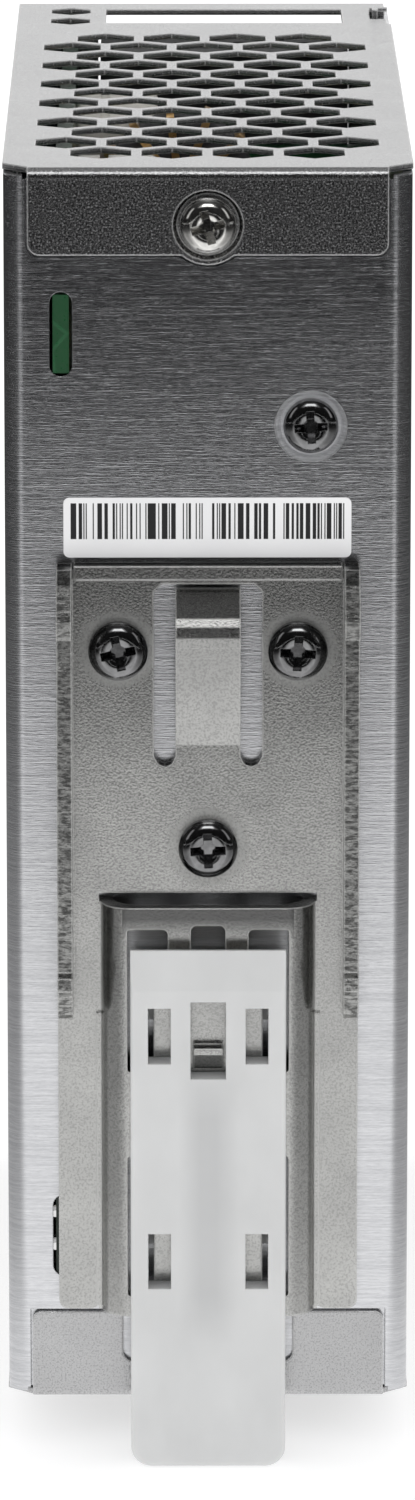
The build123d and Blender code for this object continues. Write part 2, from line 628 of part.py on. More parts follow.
# ================================================================= POWER PARTS
# All of them stand on the component side of the main board and grow towards +X.
with BuildPart() as heat_spreader:
    # aluminium plate screwed to the inside of the rear sheet, with a rib towards the board
    with BuildSketch(rear(2.05)):
        with Locations((3.4, ZB + 96.0)):
            RectangleRounded(29.0, 25.0, 1.0)
    extrude(amount=-2.5)
    with BuildSketch(level(86.0)):
        with Locations((-10.0, YR + 8.0)):
            Rectangle(2.2, 8.0)
    extrude(amount=5.0)
    with BuildSketch(rear(2.0)):
        with Locations(SCREW_REAR):
            Circle(1.5)
    extrude(amount=-3.0, mode=Mode.SUBTRACT)
save(heat_spreader, "heat_spreader")

def power_package(w, h, t, tab, lead=6.0):
    """Three-lead power package lying in XY, body up the +Y side, tab at the back (-Z)."""
    with BuildPart() as p:
        with BuildSketch(Plane.XY):
            Rectangle(w, h)
        extrude(amount=t)
        chamfer(p.faces().sort_by(Axis.Z)[-1].edges(), 0.4)
        with BuildSketch(Plane.XY):
            with Locations((0, h / 2 + tab / 2)):
                Rectangle(w, tab)
                Circle(1.8, mode=Mode.SUBTRACT)
        extrude(amount=1.3)
        with BuildSketch(Plane.XZ.offset(h / 2)):
            with Locations(*[(k * 2.54, 1.9) for k in (-1, 0, 1)]):
                Rectangle(0.8, 0.6)
        extrude(amount=lead)
    return p.part


with BuildPart() as output_rectifier:
    # its tab is clamped to the spreader by the screw from the rear
    with Locations(Plane(origin=(SCREW_REAR[0] - 7.8, YR + 4.55, SCREW_REAR[1]), x_dir=(0, 0, 1),
                         z_dir=(0, 1, 0)).location):
        add(power_package(10.0, 9.0, 4.4, 6.6, 11.3))
save(output_rectifier, "output_rectifier")

with BuildPart() as primary_heatsink:
    # comb-shaped extrusion across the board
    with BuildSketch(level(42.0)):
        with Locations((PX + 15.0, YR + 12.0)):
            Rectangle(29.6, 2.6)
        with Locations(*[(PX + 2.0 + k * 4.6, YR + 8.6) for k in range(6)]):
            Rectangle(1.4, 5.0)
    extrude(amount=16.0)
save(primary_heatsink, "primary_heatsink")

with BuildPart() as primary_switches:
    with Locations(*[Plane(origin=(x, YR + 13.35, ZB + 50.0), x_dir=(0, 0, 1), z_dir=(0, 1, 0)).location
                     for x in (PX + 8.5, PX + 21.5)]):
        with Locations(Location((0, 0, 0), (0, 0, -90))):
            add(power_package(9.6, 7.0, 4.2, 4.6))
save(primary_switches, "primary_switches")

with BuildPart() as bridge_rectifier:
    with BuildSketch(side(PX + 4.0)):
        with Locations((YR + 40.0, ZB + 42.0)):
            Rectangle(20.0, 4.0)
    extrude(amount=14.0)
    chamfer(bridge_rectifier.faces().sort_by(Axis.X)[-1].edges(), 0.5)
    with BuildSketch(side(PX)):
        with Locations(*[(YR + 40.0 + k * 5.0, ZB + 42.0) for k in (-1.5, -0.5, 0.5, 1.5)]):
            Rectangle(1.0, 0.8)
    extrude(amount=5.0)
save(bridge_rectifier, "bridge_rectifier")


def can(builder_plane, r, h):
    """Aluminium can in its sleeve, standing on builder_plane."""
    with BuildPart() as c:
        with BuildSketch(builder_plane):
            Circle(r)
        extrude(amount=h)
        fillet(c.edges().filter_by(GeomType.CIRCLE), min(0.9, r * 0.15))
        with BuildSketch(builder_plane.offset(2.6)):
            Circle(r + 0.1)
            Circle(r - 0.35, mode=Mode.SUBTRACT)
        extrude(amount=0.9, mode=Mode.SUBTRACT)
        # vent score on top
        with BuildSketch(builder_plane.offset(h)):
            Rectangle(r * 1.2, 0.35)
            Rectangle(0.35, r * 1.2)
        extrude(amount=-0.25, mode=Mode.SUBTRACT)
    return c.part


BULK_POS = [(YR + 37.0, ZB + 59.0), (YR + 61.0, ZB + 59.0)]
with BuildPart() as bulk_capacitors:
    for y, z in BULK_POS:
        add(can(Plane(origin=(PX, y, z), x_dir=(0, 1, 0), z_dir=(1, 0, 0)), 11.0, 30.0))
save(bulk_capacitors, "bulk_capacitors")

OUT_CAP = [(YR + 78.0, ZB + 115.6), (YR + 78.0, ZB + 105.6), (YR + 59.0, ZB + 112.0)]
with BuildPart() as output_capacitors:
    for y, z in OUT_CAP:
        add(can(Plane(origin=(PX, y, z), x_dir=(0, 1, 0), z_dir=(1, 0, 0)), 4.5, 8.6))
save(output_capacitors, "output_capacitors")

# transformer: two ferrite E halves round a wound bobbin, winding axis along X
TY, TZ = YR + 48.0, ZB + 88.0
with BuildPart() as transformer_core:
    with BuildSketch(side(PX + 8.0)):
        with Locations((TY, TZ)):
            Rectangle(33.0, 12.0)
    extrude(amount=20.0)
    with BuildSketch(Plane.XZ.offset(-(TY - 12.6))):
        with Locations((PX + 18.0, TZ)):
            Rectangle(14.0, 30.0)
    extrude(amount=-25.2, mode=Mode.SUBTRACT)
    with BuildSketch(side(PX + 8.0)):
        with Locations((TY, TZ)):
            Circle(5.0)
    extrude(amount=20.0)
save(transformer_core, "transformer_core")

with BuildPart() as transformer_bobbin:
    with BuildSketch(side(PX + 11.1)):
        with Locations((TY, TZ)):
            Circle(6.6)
            Circle(5.15, mode=Mode.SUBTRACT)
    extrude(amount=13.8)
    for x in (11.1, 23.9):
        with BuildSketch(side(PX + x)):
            with Locations((TY, TZ)):
                RectangleRounded(24.0, 24.0, 3.0)
                Circle(5.15, mode=Mode.SUBTRACT)
        extrude(amount=1.0)
    # pin rail down to the board
    for s in (-1, 1):
        with BuildSketch(side(PX)):
            with Locations((TY, TZ + s * 9.6)):
                Rectangle(24.0, 4.0)
        extrude(amount=11.2)
save(transformer_bobbin, "transformer_bobbin")

with BuildPart() as transformer_winding:
    with BuildSketch(side(PX + 12.2)):
        with Locations((TY, TZ)):
            Circle(11.4)
            Circle(6.65, mode=Mode.SUBTRACT)
    extrude(amount=11.6)
    fillet(transformer_winding.edges().filter_by(GeomType.CIRCLE).filter_by(lambda e: e.radius > 10), 0.8)
save(transformer_winding, "transformer_winding")


def toroid(r, rr):
    """Bare ring core in the XY plane."""
    with BuildPart() as t:
        with BuildSketch(Plane.XZ):
            with Locations((r, 0)):
                RectangleRounded(2 * rr, 2 * rr, rr * 0.35)
        revolve(axis=Axis.Z)
    return t.part


def toroid_turns(r, rr, wire, n, arc=300.0):
    """Single-layer winding as separate closed turns, a little off the core."""
    with BuildPart() as one:
        a = rr + 0.08
        with BuildSketch(Plane.XZ):
            with Locations((r, 0)):
                RectangleRounded(2 * (a + wire), 2 * (a + wire), rr * 0.35 + wire)
                RectangleRounded(2 * a, 2 * a, rr * 0.35, mode=Mode.SUBTRACT)
        extrude(amount=wire / 2, both=True)
    with BuildPart() as t:
        with PolarLocations(0, n, start_angle=0, angular_range=arc):
            add(one.part)
    return t.part


CHOKE = Plane(origin=(-2.6, YR + 68.6, ZB + 111.4), x_dir=(-1, 0, 0), z_dir=(0, 1, 0))
with BuildPart() as output_choke_core:
    with Locations(CHOKE.location):
        add(toroid(5.6, 2.4))
save(output_choke_core, "output_choke_core")

with BuildPart() as output_choke_winding:
    with Locations(CHOKE.location):
        add(toroid_turns(5.6, 2.4, 0.8, 12, 330.0))
save(output_choke_winding, "output_choke_winding")

CMC = Plane(origin=(PX + 4.5, YR + 32.0, ZB + 20.0), x_dir=(0, 1, 0), z_dir=(1, 0, 0))
with BuildPart() as line_choke_core:
    with Locations(CMC.location):
        add(toroid(8.0, 3.4))
save(line_choke_core, "line_choke_core")

with BuildPart() as line_choke_winding:
    with Locations(CMC.location):
        add(toroid_turns(8.0, 3.4, 1.0, 12, 320))
save(line_choke_winding, "line_choke_winding")

with BuildPart() as x_capacitor:
    with BuildSketch(side(PX)):
        with Locations((YR + 57.0, ZB + 14.0)):
            Rectangle(18.0, 9.0)
    extrude(amount=15.0)
    fillet(x_capacitor.edges().filter_by(Axis.X), 0.8)
save(x_capacitor, "x_capacitor")

with BuildPart() as disc_parts:
    # two safety capacitors and the varistor body share a lacquered disc shape
    for y, z, r in ((54.0, 25.5, 4.0), (64.0, 25.5, 4.0)):
        with BuildSketch(Plane(origin=(PX + r + 2.2, YR + y, ZB + z - 1.8), x_dir=(1, 0, 0), z_dir=(0, 0, 1))):
            Circle(r)
        extrude(amount=3.6)
    fillet(disc_parts.edges().filter_by(GeomType.CIRCLE), 1.2)
    for y, z in ((54.0, 25.5), (64.0, 25.5)):
        with BuildSketch(side(PX)):
            with Locations((YR + y - 2.5, ZB + z), (YR + y + 2.5, ZB + z)):
                Circle(0.35)
        extrude(amount=5.0)
save(disc_parts, "safety_capacitors")

with BuildPart() as varistor:
    with BuildSketch(Plane(origin=(PX + 8.2, YR + 74.0, ZB + 12.0), x_dir=(1, 0, 0), z_dir=(0, 1, 0))):
        Circle(6.0)
    extrude(amount=4.4)
    fillet(varistor.edges().filter_by(GeomType.CIRCLE), 1.4)
    with BuildSketch(side(PX)):
        with Locations((YR + 76.2, ZB + 9.0), (YR + 76.2, ZB + 15.0)):
            Circle(0.4)
    extrude(amount=5.0)
save(varistor, "varistor")

with BuildPart() as line_fuse:
    with BuildSketch(Plane(origin=(PX + 4.4, YR + 72.0, ZB + 33.0), x_dir=(1, 0, 0), z_dir=(0, 1, 0))):
        Circle(2.4)
    extrude(amount=10.0)
    with BuildSketch(Plane(origin=(PX + 4.4, YR + 70.0, ZB + 33.0), x_dir=(1, 0, 0), z_dir=(0, 1, 0))):
        Circle(2.75)
    extrude(amount=2.6)
    with BuildSketch(Plane(origin=(PX + 4.4, YR + 81.4, ZB + 33.0), x_dir=(1, 0, 0), z_dir=(0, 1, 0))):
        Circle(2.75)
    extrude(amount=2.6)
    with BuildSketch(side(PX)):
        with Locations((YR + 71.3, ZB + 33.0), (YR + 82.7, ZB + 33.0)):
            Circle(0.4)
    extrude(amount=3.0)
save(line_fuse, "line_fuse")

with BuildPart() as inrush_thermistor:
    with BuildSketch(Plane(origin=(PX + 7.6, YR + 79.0, ZB + 43.0), x_dir=(1, 0, 0), z_dir=(0, 1, 0))):
        Circle(5.5)
    extrude(amount=4.6)
    fillet(inrush_thermistor.edges().filter_by(GeomType.CIRCLE), 1.4)
    with BuildSketch(side(PX)):
        with Locations((YR + 81.3, ZB + 40.4), (YR + 81.3, ZB + 45.6)):
            Circle(0.4)
    extrude(amount=5.0)
save(inrush_thermistor, "inrush_thermistor")

with BuildPart() as control_board:
    # small upright board with its chips
    with BuildSketch(side(PX + 0.1)):
        with Locations((YR + 84.5, ZB + 80.0)):
            Rectangle(1.2, 26.0)
    extrude(amount=18.0)
    with BuildSketch(Plane(origin=(PX + 9.0, YR + 83.9, ZB + 80.0), x_dir=(1, 0, 0), z_dir=(0, -1, 0))):
        with Locations((0, 6.0), (0, -6.0)):
            Rectangle(5.0, 6.0)
        with Locations((5.6, 0), (-5.4, 1.0)):
            Rectangle(2.0, 3.6)
    extrude(amount=1.5)
save(control_board, "control_board")

with BuildPart() as optocouplers:
    with BuildSketch(side(PX + 0.3)):
        with Locations((YR + 75.0, ZB + 76.0), (YR + 75.0, ZB + 86.0)):
            Rectangle(6.4, 4.6)
    extrude(amount=3.4)
    chamfer(optocouplers.faces().group_by(Axis.X)[-1].edges(), 0.35)
    with BuildSketch(side(PX)):
        with Locations(*[(YR + 75.0 + sy * 3.9, ZB + z + sz * 1.27) for z in (76.0, 86.0)
                         for sy in (-1, 1) for sz in (-1, 1)]):
            Rectangle(1.4, 0.5)
    extrude(amount=1.6)
save(optocouplers, "optocouplers")

# ================================================================= TERMINALS
# A rising-clamp terminal: the screw stays where it is and turns, and pulls the
# cage forward along its axis until the wire is gripped against the current bar.
Y_HOUS0, Y_HOUS1 = 90.2, D - 0.4    # housing, rear to front
WIRE0, WIRE1 = 93.1, 97.1           # wire space of an open cage
BAR0, BAR1 = 97.1, 98.1             # current bar
CAGE_Y0, CAGE_Y1 = 91.9, 100.3      # cage at rest
HEAD_Y = 103.1                      # underside of the screw's head

OUT_X = [SLOT_X + (k - 1.5) * POLE for k in range(4)]
IN_X = [SLOT_X + (k - 1.0) * IN_POLE for k in range(3)]
OUT_CZ, IN_CZ = 115.0, 10.2         # height of the screws


def housing(xs, pole, z0, z1, cz, up, cage_w):
    """Moulded block with a wire mouth, cage pocket and screw bore for each pole."""
    n = len(xs)
    with BuildPart() as h:
        with BuildSketch(level(z0)):
            with Locations((SLOT_X, YR + (Y_HOUS0 + Y_HOUS1) / 2)):
                Rectangle(n * pole + 1.2, Y_HOUS1 - Y_HOUS0)
        extrude(amount=z1 - z0)
        chamfer(h.edges().filter_by(Axis.Z).filter_by(lambda e: e.center().Y > YR + Y_HOUS1 - 0.1), 0.4)
        # barrier grooves between the poles on the front
        with BuildSketch(rear(Y_HOUS1)):
            for a, b in zip(xs[:-1], xs[1:]):
                with Locations(((a + b) / 2, ZB + (z0 + z1) / 2)):
                    Rectangle(0.5, z1 - z0 + 1)
        extrude(amount=0.7, mode=Mode.SUBTRACT)
        # cage pocket, open through the wire mouth
        for x in xs:
            with BuildSketch(level(cz - 3.7)):
                with Locations((x, YR + (CAGE_Y0 - 0.5 + HEAD_Y - 0.1) / 2)):
                    Rectangle(cage_w + 0.5, HEAD_Y - 0.1 - CAGE_Y0 + 0.5)
            extrude(amount=7.4, mode=Mode.SUBTRACT)
            # wire mouth
            zm0, zm1 = (cz, z1) if up else (z0, cz)
            with BuildSketch(level(zm0)):
                with Locations((x, YR + (WIRE0 + WIRE1) / 2 + 0.05)):
                    Rectangle(cage_w - 0.6, WIRE1 - WIRE0 + 0.3)
            extrude(amount=zm1 - zm0, mode=Mode.SUBTRACT)
            # test-probe side of the pocket: the current bar goes down and back here
            zs0 = z0 if up else cz
            with BuildSketch(side(x - (cage_w - 1.6) / 2)):
                zc = cz - 5.2 if up else cz + 5.2
                with Locations((YR + (BAR1 + 0.1 + Y_HOUS0 - 1) / 2, ZB + zc)):
                    Rectangle(BAR1 + 0.1 - Y_HOUS0 + 1, 1.3)
                with Locations((YR + (BAR0 + BAR1) / 2, ZB + (cz + zc) / 2)):
                    Rectangle(BAR1 - BAR0 + 0.2, abs(cz - zc) + 1.3)
            extrude(amount=cage_w - 1.6, mode=Mode.SUBTRACT)
            # screw bore
            with BuildSketch(rear(HEAD_Y - 0.2)):
                with Locations((x, ZB + cz)):
                    Circle(2.2)
            extrude(amount=-4.0, mode=Mode.SUBTRACT)
    return h.part


CAGE_OUT, CAGE_IN = 5.0, 5.6

with BuildPart() as output_terminal_housing:
    add(housing(OUT_X, POLE, OUT_Z0, OUT_Z1, OUT_CZ, True, CAGE_OUT))
save(output_terminal_housing, "output_terminal_housing")

with BuildPart() as input_terminal_housing:
    add(housing(IN_X, IN_POLE, IN_Z0, IN_Z1, IN_CZ, False, CAGE_IN))
save(input_terminal_housing, "input_terminal_housing")


def current_bar(x, cz, up, w):
    """Tinned strip: stands inside the cage, then turns back to the terminal board."""
    e = -1 if up else 1
    with BuildPart() as b:
        with BuildSketch(side(x - w / 2)):
            with BuildLine():
                Polyline((YR + BAR0 + 0.1, ZB + cz - e * 3.4), (YR + BAR1, ZB + cz - e * 3.4),
                         (YR + BAR1, ZB + cz + e * 5.7), (YR + Y_HOUS0 - 2.9, ZB + cz + e * 5.7),
                         (YR + Y_HOUS0 - 2.9, ZB + cz + e * 4.8), (YR + BAR0 + 0.1, ZB + cz + e * 4.8),
                         (YR + BAR0 + 0.1, ZB + cz - e * 3.4))
            make_face()
        extrude(amount=w)
    return b.part


with BuildPart() as current_bars:
    for x in OUT_X:
        add(current_bar(x, OUT_CZ, True, 2.8))
    for x in IN_X:
        add(current_bar(x, IN_CZ, False, 2.8))
save(current_bars, "current_bars")


def cage(x, cz, w):
    """Clamp cage: a ring round the wire space, with the screw's thread in its front bar."""
    with BuildPart() as c:
        with BuildSketch(level(cz - 2.9)):
            with Locations((x, YR + (CAGE_Y0 + CAGE_Y1) / 2)):
                RectangleRounded(w, CAGE_Y1 - CAGE_Y0, 0.6)
            with Locations((x, YR + (CAGE_Y0 + 1.2 + CAGE_Y1 - 1.7) / 2)):
                Rectangle(w - 1.6, CAGE_Y1 - CAGE_Y0 - 2.9, mode=Mode.SUBTRACT)
        extrude(amount=5.8)
        with BuildSketch(rear(CAGE_Y1 - 2.5)):
            with Locations((x, ZB + cz)):
                Circle(1.5)
        extrude(amount=-4.0, mode=Mode.SUBTRACT)
    return c.part


TERM_SCREW = slot_screw(4.2, 1.9, 2.9, HEAD_Y - BAR1 - 0.05)


def facing_front(x, z, y, turn=0.0):
    return Plane(origin=(x, YR + y, z), x_dir=(math.cos(math.radians(turn)), 0, math.sin(math.radians(turn))),
                 z_dir=(0, 1, 0)).location


TURNS = (20, -35, 64, 8, -12, 41, 75)
for k, x in enumerate(OUT_X):
    with BuildPart() as out_clamp:
        add(cage(x, OUT_CZ, CAGE_OUT))
    save(out_clamp, "output_clamp_%d" % (k + 1))
    with BuildPart() as out_screw:
        with Locations(facing_front(x, ZB + OUT_CZ, HEAD_Y, TURNS[k])):
            add(TERM_SCREW)
    save(out_screw, "output_screw_%d" % (k + 1))

for k, x in enumerate(IN_X):
    with BuildPart() as in_clamp:
        add(cage(x, IN_CZ, CAGE_IN))
    save(in_clamp, "input_clamp_%d" % (k + 1))
    with BuildPart() as in_screw:
        with Locations(facing_front(x, ZB + IN_CZ, HEAD_Y, TURNS[4 + k])):
            add(TERM_SCREW)
    save(in_screw, "input_screw_%d" % (k + 1))

with BuildPart() as output_terminal_board:
    with BuildSketch(rear(Y_HOUS0 - 2.0)):
        with Locations((SLOT_X, ZB + 104.0)):
            Rectangle(31.0, 17.0)
        for x in OUT_X:
            with Locations((x, ZB + OUT_CZ - 5.25)):
                Rectangle(3.1, 1.2, mode=Mode.SUBTRACT)
    extrude(amount=-PCB_T)
save(output_terminal_board, "output_terminal_board")

with BuildPart() as input_terminal_board:
    with BuildSketch(rear(Y_HOUS0 - 2.0)):
        with Locations((SLOT_X, ZB + 15.6)):
            Rectangle(31.0, 26.0)
        for x in IN_X:
            with Locations((x, ZB + IN_CZ + 5.25)):
                Rectangle(3.5, 1.2, mode=Mode.SUBTRACT)
    extrude(amount=-PCB_T)
save(input_terminal_board, "input_terminal_board")

# ================================================================= FRONT CONTROLS
POT = (6.0, ZB + 97.0)
with BuildPart() as trim_pot_body:
    with BuildSketch(rear(D - 8.0)):
        with Locations(POT):
            RectangleRounded(9.6, 9.6, 0.5)
    extrude(amount=-5.0)
    with BuildSketch(rear(D - 5.0)):
        with Locations(POT):
            Circle(2.5)
    extrude(amount=-2.0, mode=Mode.SUBTRACT)
save(trim_pot_body, "trim_pot_body")

with BuildPart() as trim_pot_rotor:
    with BuildSketch(rear(D - 5.0)):
        with Locations(POT):
            Circle(2.42)
    extrude(amount=-5.2)
    with BuildSketch(rear(D + 0.2)):
        with Locations(POT):
            Rectangle(4.0, 0.8)
            Rectangle(0.8, 4.0)
    extrude(amount=1.1, mode=Mode.SUBTRACT)
    # pointer notch at the edge
    with BuildSketch(rear(D + 0.2)):
        with Locations((POT[0], POT[1] + 2.3)):
            Rectangle(0.7, 0.8)
    extrude(amount=0.6, mode=Mode.SUBTRACT)
save(trim_pot_rotor, "trim_pot_rotor")

with BuildPart() as status_lamp:
    with BuildSketch(rear(D - 6.0)):
        with Locations((-8.0, ZB + 97.0)):
            Circle(1.5)
    extrude(amount=-6.2)
    with BuildSketch(rear(D - 6.0)):
        with Locations((-8.0, ZB + 97.0)):
            Circle(1.9)
    extrude(amount=-1.0)
    fillet(status_lamp.faces().sort_by(Axis.Y)[-1].edges(), 0.7)
save(status_lamp, "status_lamp")
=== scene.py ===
import bpy
import bmesh
import json
import math
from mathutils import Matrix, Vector
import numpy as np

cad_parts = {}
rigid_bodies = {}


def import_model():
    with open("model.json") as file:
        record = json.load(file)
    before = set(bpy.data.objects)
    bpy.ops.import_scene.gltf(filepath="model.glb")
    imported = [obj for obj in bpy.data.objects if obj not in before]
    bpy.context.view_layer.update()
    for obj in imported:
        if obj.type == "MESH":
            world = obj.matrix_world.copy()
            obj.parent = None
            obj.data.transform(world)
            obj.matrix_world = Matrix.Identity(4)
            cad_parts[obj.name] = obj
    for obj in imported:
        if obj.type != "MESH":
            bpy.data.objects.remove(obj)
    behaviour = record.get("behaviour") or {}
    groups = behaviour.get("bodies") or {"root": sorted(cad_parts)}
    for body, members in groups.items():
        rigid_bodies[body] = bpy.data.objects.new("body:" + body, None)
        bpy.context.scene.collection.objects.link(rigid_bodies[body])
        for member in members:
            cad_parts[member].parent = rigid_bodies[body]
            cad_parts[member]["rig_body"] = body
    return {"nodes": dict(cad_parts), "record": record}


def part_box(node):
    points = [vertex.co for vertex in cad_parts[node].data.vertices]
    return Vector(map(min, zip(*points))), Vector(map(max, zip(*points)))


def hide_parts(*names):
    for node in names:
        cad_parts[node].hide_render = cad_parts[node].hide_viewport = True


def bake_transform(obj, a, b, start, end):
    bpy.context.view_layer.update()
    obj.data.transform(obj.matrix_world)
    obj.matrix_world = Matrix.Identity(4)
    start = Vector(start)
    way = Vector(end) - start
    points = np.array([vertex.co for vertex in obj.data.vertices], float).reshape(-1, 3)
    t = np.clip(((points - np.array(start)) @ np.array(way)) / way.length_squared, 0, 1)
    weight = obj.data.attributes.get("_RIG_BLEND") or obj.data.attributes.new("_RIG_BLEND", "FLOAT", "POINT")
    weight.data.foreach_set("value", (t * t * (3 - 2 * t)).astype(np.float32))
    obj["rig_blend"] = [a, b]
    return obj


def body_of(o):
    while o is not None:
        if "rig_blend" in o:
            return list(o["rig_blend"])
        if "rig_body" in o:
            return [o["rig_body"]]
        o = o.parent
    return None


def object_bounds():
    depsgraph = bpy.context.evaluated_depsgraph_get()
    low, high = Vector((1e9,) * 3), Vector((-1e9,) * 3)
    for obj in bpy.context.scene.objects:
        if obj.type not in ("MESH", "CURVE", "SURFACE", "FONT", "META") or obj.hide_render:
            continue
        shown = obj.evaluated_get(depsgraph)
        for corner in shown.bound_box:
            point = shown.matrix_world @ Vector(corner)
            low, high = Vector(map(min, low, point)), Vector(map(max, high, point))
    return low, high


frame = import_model()
N = frame["nodes"]
SC = bpy.context.scene
COL = SC.collection
cad_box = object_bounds()
MM = 0.001

# ------------------------------------------------------------------ places taken from the frame
case_lo, case_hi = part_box("case_shell")
top_lo, top_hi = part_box("top_cover")
bot_lo, bot_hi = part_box("bottom_cover")
YR = case_lo.y                       # rear face of the case
ZB = bot_lo.z                        # underside of the case
ZT = top_hi.z
lab_lo, lab_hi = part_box("rear_label")
FLOOR_Z = cad_box[0].z - 0.0002

BRACKET_SCREWS = [(-0.00885, ZB + 0.0775), (0.00885, ZB + 0.0775), (0.0, ZB + 0.0575)]

# ------------------------------------------------------------------ node helpers


class Mat:
    """Small builder for a procedural material."""

    def __init__(self, name):
        self.m = bpy.data.materials.new(name)
        self.m.use_nodes = True
        self.t = self.m.node_tree
        self.t.nodes.clear()
        self.out = self.t.nodes.new("ShaderNodeOutputMaterial")
        self.p = self.t.nodes.new("ShaderNodeBsdfPrincipled")
        self.link(self.p.outputs[0], self.out.inputs[0])
        self.co = self.t.nodes.new("ShaderNodeTexCoord").outputs["Object"]
        self.bump_in = None

    def link(self, a, b):
        self.t.links.new(a, b)

    def set(self, **kw):
        for k, v in kw.items():
            self.p.inputs[k.replace("_", " ")].default_value = v
        return self

    def mapped(self, scale, co=None):
        n = self.t.nodes.new("ShaderNodeMapping")
        n.inputs["Scale"].default_value = scale
        self.link(co or self.co, n.inputs["Vector"])
        return n.outputs[0]

    def noise(self, scale=(1000, 1000, 1000), detail=3.0, rough=0.55, dist=0.0, co=None):
        n = self.t.nodes.new("ShaderNodeTexNoise")
        n.inputs["Scale"].default_value = 1.0
        n.inputs["Detail"].default_value = detail
        n.inputs["Roughness"].default_value = rough
        n.inputs["Distortion"].default_value = dist
        self.link(self.mapped(scale, co), n.inputs["Vector"])
        return n.outputs["Fac"]

    def voronoi(self, scale=(1000, 1000, 1000), feature="F1", co=None):
        n = self.t.nodes.new("ShaderNodeTexVoronoi")
        n.feature = feature
        n.inputs["Scale"].default_value = 1.0
        self.link(self.mapped(scale, co), n.inputs["Vector"])
        return n.outputs["Distance"]

    def ramp(self, fac, stops):
        n = self.t.nodes.new("ShaderNodeValToRGB")
        e = n.color_ramp.elements
        while len(e) < len(stops):
            e.new(0.5)
        for i, (pos, col) in enumerate(stops):
            e[i].position = pos
            c = col if hasattr(col, "__len__") else (col, col, col)
            e[i].color = (c[0], c[1], c[2], 1)
        self.link(fac, n.inputs[0])
        return n.outputs[0]

    def rng(self, fac, a, b, fa=0.0, fb=1.0):
        n = self.t.nodes.new("ShaderNodeMapRange")
        n.inputs["From Min"].default_value = fa
        n.inputs["From Max"].default_value = fb
        n.inputs["To Min"].default_value = a
        n.inputs["To Max"].default_value = b
        self.link(fac, n.inputs["Value"])
        return n.outputs[0]

    def math(self, op, a, b=None, c=None):
        n = self.t.nodes.new("ShaderNodeMath")
        n.operation = op
        for i, v in enumerate((a, b, c)):
            if v is None:
                continue
            if isinstance(v, (int, float)):
                n.inputs[i].default_value = v
            else:
                self.link(v, n.inputs[i])
        return n.outputs[0]

    def mix(self, fac, a, b):
        n = self.t.nodes.new("ShaderNodeMix")
        n.data_type = "RGBA"
        for s, v in ((0, fac), (6, a), (7, b)):
            if isinstance(v, (int, float)):
                n.inputs[s].default_value = v
            elif hasattr(v, "__len__"):
                n.inputs[s].default_value = (v[0], v[1], v[2], 1)
            else:
                self.link(v, n.inputs[s])
        return n.outputs[2]

    def xyz(self, co=None):
        n = self.t.nodes.new("ShaderNodeSeparateXYZ")
        self.link(co or self.co, n.inputs[0])
        return n.outputs

    def disc(self, cx, cz, r0, r1):
        """1 within r0 of a point of the rear face, 0 beyond r1."""
        x, y, z = self.xyz()
        d = self.math("SQRT", self.math("ADD", self.math("POWER", self.math("SUBTRACT", x, cx), 2.0),
                                        self.math("POWER", self.math("SUBTRACT", z, cz), 2.0)))
        return self.rng(d, 1.0, 0.0, r0, r1)

    def bump(self, height, strength, dist):
        n = self.t.nodes.new("ShaderNodeBump")
        n.inputs["Strength"].default_value = strength
        n.inputs["Distance"].default_value = dist
        self.link(height, n.inputs["Height"])
        if self.bump_in is not None:
            self.link(self.bump_in, n.inputs["Normal"])
        self.bump_in = n.outputs[0]
        self.link(self.bump_in, self.p.inputs["Normal"])
        return self

    def bevel(self, radius, samples=4):
        n = self.t.nodes.new("ShaderNodeBevel")
        n.samples = samples
        n.inputs["Radius"].default_value = radius
        self.bump_in = n.outputs[0]
        self.link(self.bump_in, self.p.inputs["Normal"])
        geo = self.t.nodes.new("ShaderNodeNewGeometry")
        d = self.t.nodes.new("ShaderNodeVectorMath")
        d.operation = "DOT_PRODUCT"
        self.link(n.outputs[0], d.inputs[0])
        self.link(geo.outputs["Normal"], d.inputs[1])
        # faces near a sharp edge; where it whitens the colour it is a painted highlight
        self.painted_edge_highlight = self.rng(d.outputs["Value"], 1.0, 0.0, 0.86, 0.985)
        return self

    def metallic(self, v):
        self.link(v, self.p.inputs["Metallic"])
        return self

    def color(self, c):
        self.link(c, self.p.inputs["Base Color"])
        return self

    def roughness(self, r):
        self.link(r, self.p.inputs["Roughness"])
        return self

    def tangent_z(self):
        n = self.t.nodes.new("ShaderNodeTangent")
        n.direction_type = "RADIAL"
        n.axis = "Z"
        self.link(n.outputs[0], self.p.inputs["Tangent"])
        return self


